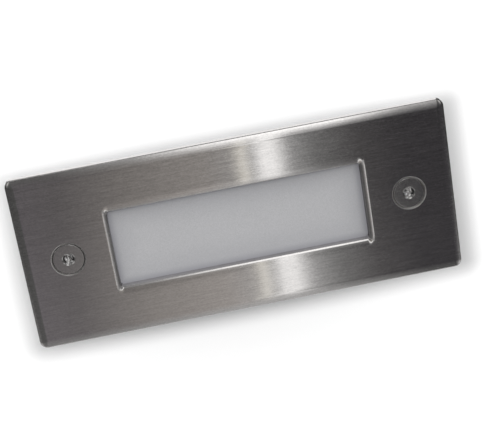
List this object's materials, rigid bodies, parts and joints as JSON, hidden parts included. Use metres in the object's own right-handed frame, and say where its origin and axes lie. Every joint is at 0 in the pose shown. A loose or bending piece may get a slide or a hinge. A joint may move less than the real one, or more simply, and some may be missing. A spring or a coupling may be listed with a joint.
{
  "type": "in-ground light",
  "caption": "Rectangular recessed ground light with a brushed steel face plate, frosted lens, and sealed cast housing holding its light source and driver.",
  "frame": {"origin": "middle of the housing's base, which is the lowest face", "axes": "+Z out of the ground through the face, +X along the plate's length towards the cable gland"},
  "size_m": [0.17, 0.07, 0.056],
  "materials": {
    "face_steel": "stamped sheet, brushed along its length, rolled edges left satin",
    "screw_steel": "turned head with fine rings, plain shank",
    "small_steel": "zinc-bright small screws",
    "lens_frost": "toughened, frosted opal, satin",
    "seal_rubber": "matt black silicone",
    "washer_nylon": "natural nylon",
    "cast_black": "die-cast aluminium, black powder coat",
    "insert_brass": "knurled, press fitted",
    "tray_white": "moulded, matt white",
    "board_white": "aluminium-cored board with a white mask",
    "emitter_yellow": "phosphor in a white frame",
    "connector_ivory": "moulded",
    "pad_grey": "soft silicone pad",
    "deck_aluminium": "sawn and milled, bare",
    "lead_red": "silicone insulation",
    "lead_black": "silicone insulation",
    "board_green": "glass-fibre board, green mask",
    "core_yellow": "taped bobbin",
    "capacitor_blue": "shrunk sleeve",
    "chip_black": "moulded",
    "terminal_grey": "moulded",
    "gland_black": "glass-filled nylon",
    "membrane_white": "porous film"
  },
  "bodies": {
    "housing": {"housing": "cast_black", "threaded_inserts": "insert_brass", "reflector": "tray_white", "led_board": "board_white", "led_emitters": "emitter_yellow", "board_connector": "connector_ivory", "board_screws": "small_steel", "thermal_pad": "pad_grey", "deck": "deck_aluminium", "deck_screws": "small_steel", "lead_grommet": "seal_rubber", "positive_lead": "lead_red", "negative_lead": "lead_black", "driver_spacers": "insert_brass", "driver_board": "board_green", "driver_screws": "small_steel", "transformer": "core_yellow", "capacitors": "capacitor_blue", "driver_chips": "chip_black", "terminal_block": "terminal_grey", "terminal_screws": "small_steel", "gland_body": "gland_black", "gland_washer": "seal_rubber", "gland_locknut": "gland_black", "gland_seal": "seal_rubber", "gland_nut": "gland_black", "vent_plug": "gland_black", "vent_oring": "seal_rubber", "vent_membrane": "membrane_white"},
    "cover": {"face_plate": "face_steel", "face_gasket": "seal_rubber", "diffuser": "lens_frost", "lens_gasket": "seal_rubber"},
    "left_retainer": {"left_retainer": "washer_nylon"},
    "right_retainer": {"right_retainer": "washer_nylon"},
    "left_screw": {"left_screw": "screw_steel"},
    "right_screw": {"right_screw": "screw_steel"}
  },
  "joints": [
    {"name": "cover_lift", "type": "slide", "parent": "housing", "child": "cover", "axis": [0, 0, 1], "range_m": [0, 0.045]},
    {"name": "left_screw_rise", "type": "slide", "parent": "cover", "child": "left_retainer", "axis": [0, 0, 1], "range_m": [0, 0.007]},
    {"name": "left_screw_turn", "type": "hinge", "parent": "left_retainer", "child": "left_screw", "pos_m": [-0.0672, 0, 0.05], "axis": [0, 0, 1], "range_deg": [0, 2520.1]},
    {"name": "right_screw_rise", "type": "slide", "parent": "cover", "child": "right_retainer", "axis": [0, 0, 1], "range_m": [0, 0.007]},
    {"name": "right_screw_turn", "type": "hinge", "parent": "right_retainer", "child": "right_screw", "pos_m": [0.0672, 0, 0.05], "axis": [0, 0, 1], "range_deg": [0, 2520.1]}
  ],
  "couplings": [
    {"joint": "left_screw_turn", "follows": "left_screw_rise", "rad_per_m": 6283.2},
    {"joint": "right_screw_turn", "follows": "right_screw_rise", "rad_per_m": 6283.2}
  ]
}
